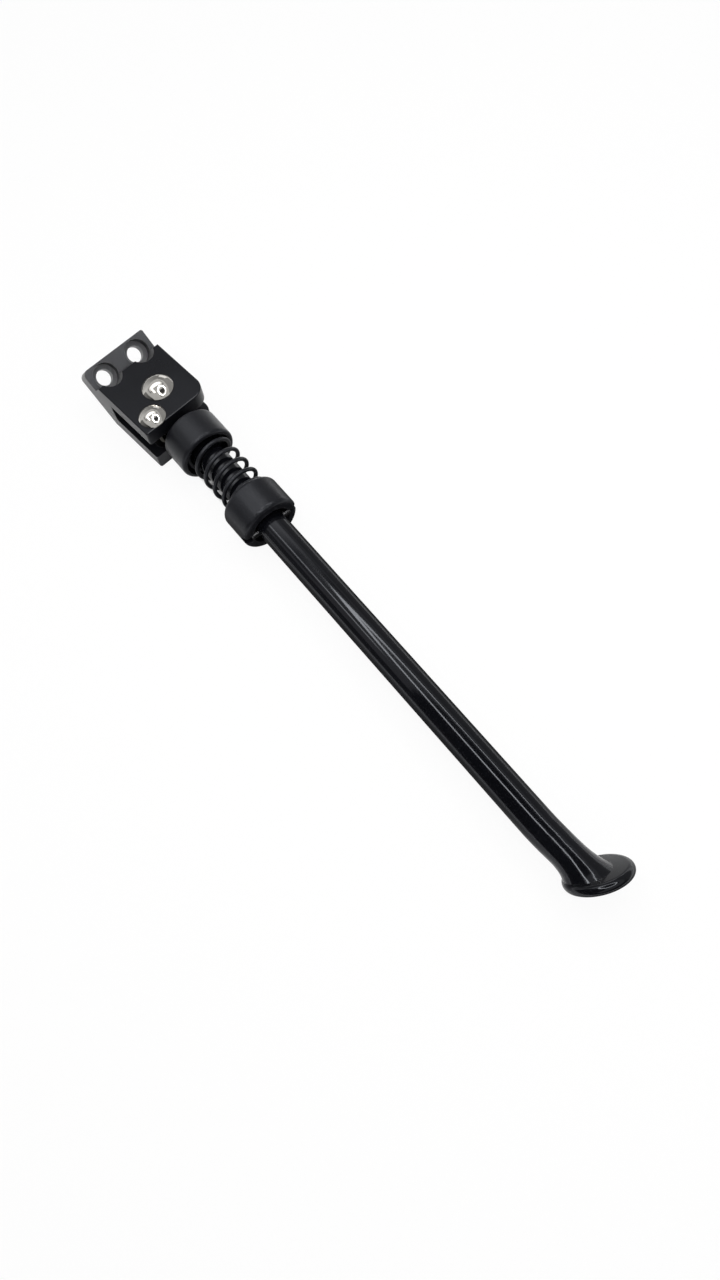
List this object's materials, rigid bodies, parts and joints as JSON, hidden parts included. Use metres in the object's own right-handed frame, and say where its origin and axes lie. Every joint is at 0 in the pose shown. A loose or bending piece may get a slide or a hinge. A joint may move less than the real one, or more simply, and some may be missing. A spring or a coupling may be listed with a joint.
{
  "type": "electric scooter kickstand",
  "caption": "Folding scooter kickstand: round bar leg with a tilted foot pad, hinged in a slotted bracket, held open or shut by a spring-loaded barrel that rides over the bracket's corner.",
  "frame": {"origin": "midway between the two screw holes on the bracket's mounting face", "axes": "+X along the bracket's plates towards the foot, +Y across the plates towards the side that the leg folds to, +Z along the pivot rivet towards its dome"},
  "size_m": [0.236, 0.0347, 0.0225],
  "materials": {
    "bracket_paint": "satin black coating",
    "leg_paint": "gloss black enamel",
    "sleeve_paint": "satin black coating",
    "spring_paint": "semi-gloss black coating",
    "rivet_steel": "polished",
    "pin_steel": "plain ground"
  },
  "bodies": {
    "bracket": {"bracket": "bracket_paint", "pivot_rivet": "rivet_steel", "stop_rivet": "rivet_steel"},
    "leg": {"leg": "leg_paint", "collar": "sleeve_paint", "cross_pin": "pin_steel", "spring": "spring_paint"},
    "barrel": {"barrel": "sleeve_paint"}
  },
  "joints": [
    {"name": "leg_pivot", "type": "hinge", "parent": "bracket", "child": "leg", "pos_m": [0.02411, 0.0015, -0.00008], "axis": [0, 0, 1], "range_deg": [0, 94.87]},
    {"name": "barrel_slide", "type": "slide", "parent": "leg", "child": "barrel", "axis": [0.9964, -0.0849, 0], "range_m": [0, 0.004], "stiffness_N_per_m": 4500, "springref_m": -0.005, "deforming": ["spring"]}
  ]
}
